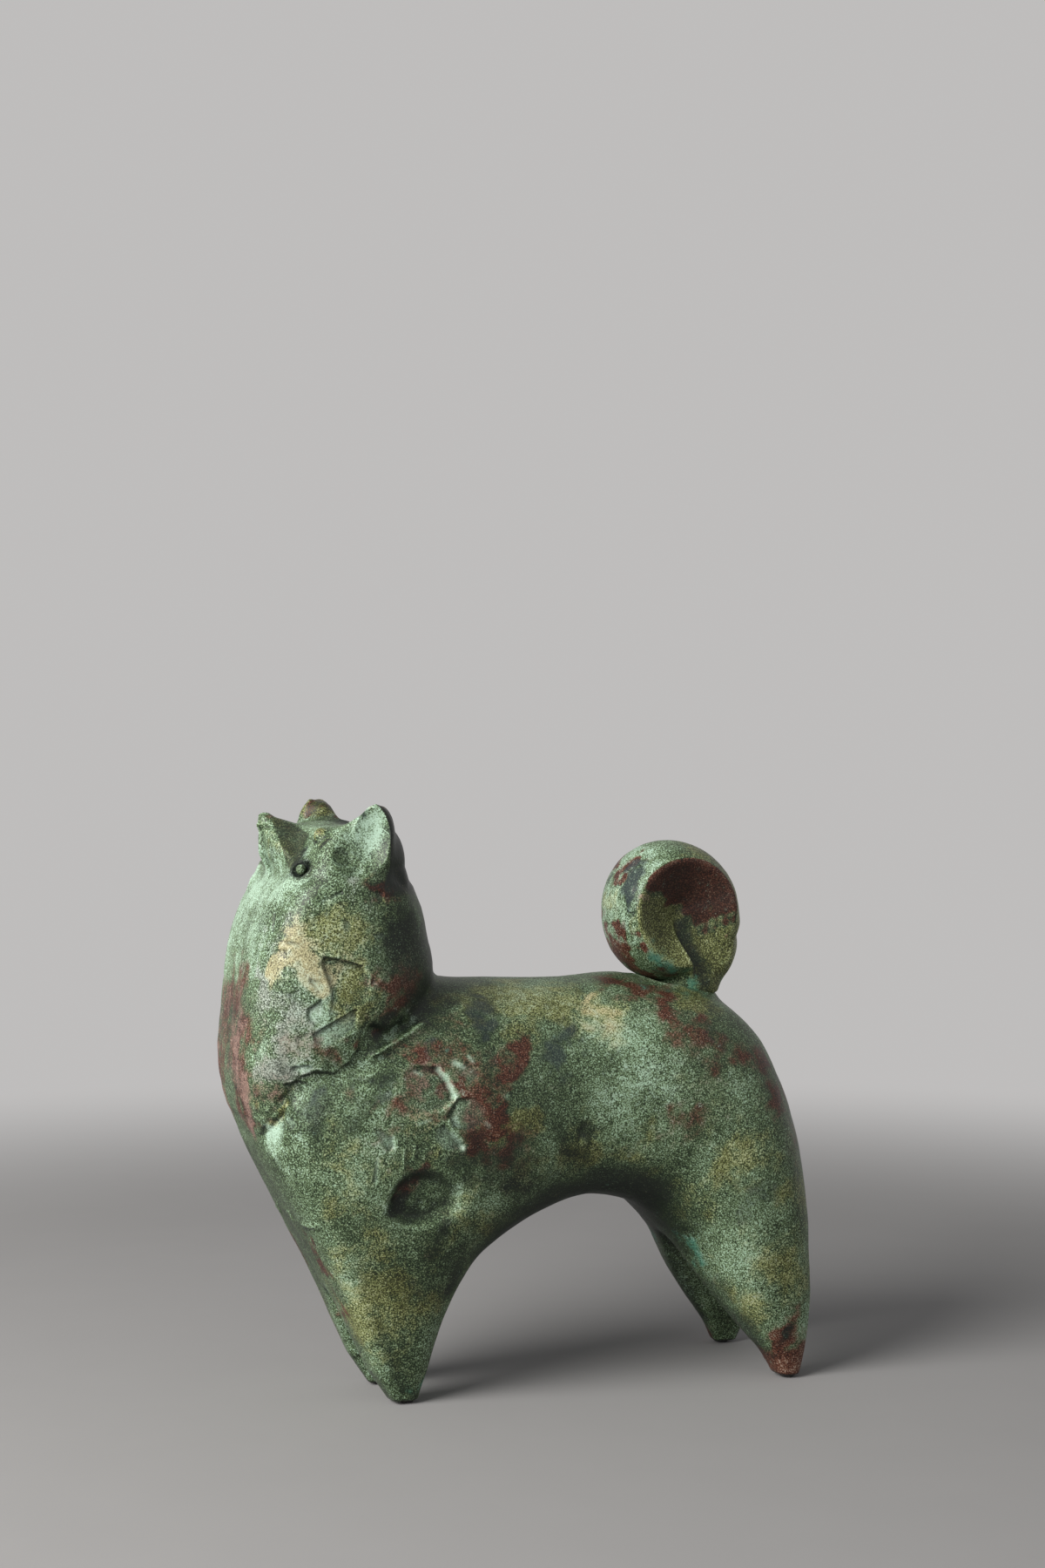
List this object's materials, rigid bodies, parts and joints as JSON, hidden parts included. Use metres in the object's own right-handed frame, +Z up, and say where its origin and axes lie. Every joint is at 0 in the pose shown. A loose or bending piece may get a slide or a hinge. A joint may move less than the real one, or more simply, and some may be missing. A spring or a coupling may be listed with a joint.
{
  "type": "cast iron dog ornament",
  "caption": "Standing dog ornament with upturned head, arched belly and curled tail, cast as hollow halves with a separate tail, green patina.",
  "frame": {"origin": "on the floor under the middle of the dog's bounding box", "axes": "+X towards the tail end, the head faces -X; +Y to the dog's right side; +Z up"},
  "size_m": [0.2048, 0.077, 0.2005],
  "materials": {
    "left_body_iron": "green patina, semi-gloss",
    "right_body_iron": "green patina, semi-gloss",
    "tail_iron": "green patina, semi-gloss",
    "screw_steel": "plain",
    "pin_steel": "ground",
    "disc_rubber": "matte"
  },
  "bodies": {
    "root": {"left_body_casting": "left_body_iron", "right_body_casting": "right_body_iron", "tail_casting": "tail_iron", "chest_screw": "screw_steel", "haunch_screw": "screw_steel", "neck_screw": "screw_steel", "chest_dowel": "pin_steel", "belly_dowel": "pin_steel", "rump_dowel": "pin_steel", "tail_pin": "pin_steel", "front_left_foot_disc": "disc_rubber", "front_right_foot_disc": "disc_rubber", "hind_left_foot_disc": "disc_rubber", "hind_right_foot_disc": "disc_rubber"}
  },
  "joints": []
}
